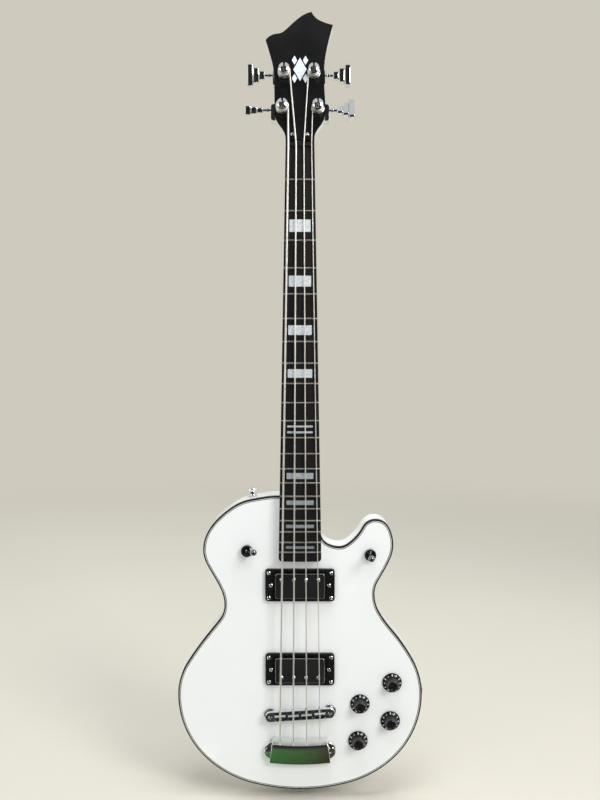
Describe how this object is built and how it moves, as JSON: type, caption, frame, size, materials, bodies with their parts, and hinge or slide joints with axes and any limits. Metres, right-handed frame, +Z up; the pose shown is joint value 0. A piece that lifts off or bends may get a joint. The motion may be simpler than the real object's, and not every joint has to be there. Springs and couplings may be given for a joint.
{
  "type": "electric bass guitar",
  "caption": "Single-cutaway solid-body electric bass guitar with a set neck, tilted headstock, geared tuners, two pickups, adjustable bridge, tailpiece, knobs and toggle switches.",
  "frame": {"origin": "hanger seat at the foot of the headstock, on the centreline, 30 mm above the nut and in the plane where the fretboard is glued to the neck", "axes": "+Z up along the neck, +Y to the back, +X to the right of someone facing the front"},
  "size_m": [0.3445, 0.0785, 1.0943],
  "materials": {
    "white_lacquer": "high gloss white lacquer over mahogany",
    "black_binding": "polished black edge binding",
    "white_binding": "polished white binding line",
    "black_gloss": "polished black sheet",
    "pearl": "white pearl inlay",
    "steel": "plain turned steel",
    "ebony": "oiled dark fretboard wood",
    "fret_wire": "polished nickel silver",
    "nut_black": "satin black nut",
    "chrome": "bright chrome plate",
    "dark_chrome": "dark chrome plate",
    "black_matte": "moulded black plastic",
    "string_steel": "round wound steel",
    "knob_black": "moulded black plastic with white numbers",
    "pickup_black": "polished black cover",
    "brass_plate": "plain brass sheet",
    "lever_black": "black lever tip on a steel lever"
  },
  "bodies": {
    "root": {"body": "white_lacquer", "neck": "white_lacquer", "binding_black": "black_binding", "binding_white": "white_binding", "headstock_overlay": "black_gloss", "pearl_inlays": "pearl", "truss_rod": "steel", "truss_rod_cover": "black_gloss", "fretboard": "ebony", "frets": "fret_wire", "nut": "nut_black", "strap_buttons": "chrome", "back_covers": "black_matte", "mounting_screws": "chrome", "pickup_rings": "black_matte", "height_screws": "chrome", "bridge_posts": "chrome", "stud_bushings": "steel", "tailpiece": "chrome", "tailpiece_studs": "chrome", "tuner_bushings": "chrome", "tuner_housings": "chrome", "potentiometers": "steel", "toggle_switches": "dark_chrome", "jack_plate": "chrome", "jack_socket": "steel", "string_e": "string_steel", "string_a": "string_steel", "string_d": "string_steel", "string_g": "string_steel"},
    "button_e": {"tuner_button_e": "chrome"},
    "post_e": {"tuner_post_e": "chrome"},
    "button_a": {"tuner_button_a": "chrome"},
    "post_a": {"tuner_post_a": "chrome"},
    "button_d": {"tuner_button_d": "chrome"},
    "post_d": {"tuner_post_d": "chrome"},
    "button_g": {"tuner_button_g": "chrome"},
    "post_g": {"tuner_post_g": "chrome"},
    "knob_neck_volume": {"knob_neck_volume": "knob_black"},
    "knob_neck_tone": {"knob_neck_tone": "knob_black"},
    "knob_bridge_volume": {"knob_bridge_volume": "knob_black"},
    "knob_bridge_tone": {"knob_bridge_tone": "knob_black"},
    "lever_rhythm": {"switch_lever_rhythm": "lever_black"},
    "lever_tone": {"switch_lever_tone": "lever_black"},
    "neck_pickup": {"neck_pickup_cover": "pickup_black", "neck_pickup_base": "brass_plate", "neck_pickup_coils": "black_matte", "neck_pole_screws": "chrome"},
    "bridge_pickup": {"bridge_pickup_cover": "pickup_black", "bridge_pickup_base": "brass_plate", "bridge_pickup_coils": "black_matte", "bridge_pole_screws": "chrome"},
    "bridge": {"bridge_bar": "chrome", "saddle_screws": "chrome"},
    "saddle_e": {"saddle_e": "chrome"},
    "saddle_a": {"saddle_a": "chrome"},
    "saddle_d": {"saddle_d": "chrome"},
    "saddle_g": {"saddle_g": "chrome"},
    "thumbwheel_bass": {"thumbwheel_bass": "chrome"},
    "thumbwheel_treble": {"thumbwheel_treble": "chrome"}
  },
  "joints": [
    {"name": "button_e_turn", "type": "hinge", "parent": "root", "child": "button_e", "pos_m": [-0.0537, 0.03141, 0.0266], "axis": [-1, 0, 0], "continuous": true},
    {"name": "post_e_turn", "type": "hinge", "parent": "root", "child": "post_e", "pos_m": [-0.0237, 0.01019, 0.02293], "axis": [0, -0.9781, 0.2079], "continuous": true},
    {"name": "button_a_turn", "type": "hinge", "parent": "root", "child": "button_a", "pos_m": [-0.0514, 0.04195, 0.07619], "axis": [-1, 0, 0], "continuous": true},
    {"name": "post_a_turn", "type": "hinge", "parent": "root", "child": "post_a", "pos_m": [-0.0214, 0.02073, 0.07252], "axis": [0, -0.9781, 0.2079], "continuous": true},
    {"name": "button_d_turn", "type": "hinge", "parent": "root", "child": "button_d", "pos_m": [0.0486, 0.04189, 0.0759], "axis": [1, 0, 0], "continuous": true},
    {"name": "post_d_turn", "type": "hinge", "parent": "root", "child": "post_d", "pos_m": [0.0186, 0.02067, 0.07223], "axis": [0, -0.9781, 0.2079], "continuous": true},
    {"name": "button_g_turn", "type": "hinge", "parent": "root", "child": "button_g", "pos_m": [0.0538, 0.03133, 0.0262], "axis": [1, 0, 0], "continuous": true},
    {"name": "post_g_turn", "type": "hinge", "parent": "root", "child": "post_g", "pos_m": [0.0238, 0.0101, 0.02254], "axis": [0, -0.9781, 0.2079], "continuous": true},
    {"name": "knob_neck_volume_turn", "type": "hinge", "parent": "root", "child": "knob_neck_volume", "pos_m": [0.1288, 0.005, -0.7659], "axis": [0, -1, 0], "range_deg": [0, 300]},
    {"name": "knob_neck_tone_turn", "type": "hinge", "parent": "root", "child": "knob_neck_tone", "pos_m": [0.084, 0.005, -0.7964], "axis": [0, -1, 0], "range_deg": [0, 300]},
    {"name": "knob_bridge_volume_turn", "type": "hinge", "parent": "root", "child": "knob_bridge_volume", "pos_m": [0.1266, 0.005, -0.8206], "axis": [0, -1, 0], "range_deg": [0, 300]},
    {"name": "knob_bridge_tone_turn", "type": "hinge", "parent": "root", "child": "knob_bridge_tone", "pos_m": [0.0815, 0.005, -0.8493], "axis": [0, -1, 0], "range_deg": [0, 300]},
    {"name": "lever_rhythm_throw", "type": "hinge", "parent": "root", "child": "lever_rhythm", "pos_m": [-0.0734, 0.0035, -0.5783], "axis": [-0.2419, 0, 0.9703], "range_deg": [-50, 0]},
    {"name": "lever_tone_throw", "type": "hinge", "parent": "root", "child": "lever_tone", "pos_m": [0.0972, 0.0035, -0.584], "axis": [1, 0, 0], "range_deg": [-25, 25]},
    {"name": "neck_pickup_height", "type": "slide", "parent": "root", "child": "neck_pickup", "axis": [0, -1, 0], "range_m": [-0.003, 0.002]},
    {"name": "bridge_pickup_height", "type": "slide", "parent": "root", "child": "bridge_pickup", "axis": [0, -1, 0], "range_m": [-0.003, 0.002]},
    {"name": "bridge_height", "type": "slide", "parent": "root", "child": "bridge", "axis": [0, -1, 0], "range_m": [0, 0.004], "deforming": ["string_e", "string_a", "string_d", "string_g"]},
    {"name": "saddle_e_slide", "type": "slide", "parent": "bridge", "child": "saddle_e", "axis": [-0.068, 0, 0.9977], "range_m": [-0.0028, 0.0028], "deforming": ["string_e"]},
    {"name": "saddle_a_slide", "type": "slide", "parent": "bridge", "child": "saddle_a", "axis": [-0.068, 0, 0.9977], "range_m": [-0.0028, 0.0028], "deforming": ["string_a"]},
    {"name": "saddle_d_slide", "type": "slide", "parent": "bridge", "child": "saddle_d", "axis": [-0.068, 0, 0.9977], "range_m": [-0.0028, 0.0028], "deforming": ["string_d"]},
    {"name": "saddle_g_slide", "type": "slide", "parent": "bridge", "child": "saddle_g", "axis": [-0.068, 0, 0.9977], "range_m": [-0.0028, 0.0028], "deforming": ["string_g"]},
    {"name": "thumbwheel_bass_turn", "type": "hinge", "parent": "bridge", "child": "thumbwheel_bass", "pos_m": [-0.0414, 0.003, -0.81132], "axis": [0, -1, 0], "range_deg": [0, 1800]},
    {"name": "thumbwheel_treble_turn", "type": "hinge", "parent": "bridge", "child": "thumbwheel_treble", "pos_m": [0.0414, 0.003, -0.80568], "axis": [0, -1, 0], "range_deg": [0, 1800]}
  ],
  "couplings": [
    {"joint": "post_e_turn", "follows": "button_e_turn", "ratio": 0.05},
    {"joint": "post_a_turn", "follows": "button_a_turn", "ratio": 0.05},
    {"joint": "post_d_turn", "follows": "button_d_turn", "ratio": -0.05},
    {"joint": "post_g_turn", "follows": "button_g_turn", "ratio": -0.05},
    {"joint": "thumbwheel_bass_turn", "follows": "bridge_height", "rad_per_m": 7850},
    {"joint": "thumbwheel_treble_turn", "follows": "bridge_height", "rad_per_m": 7850}
  ]
}
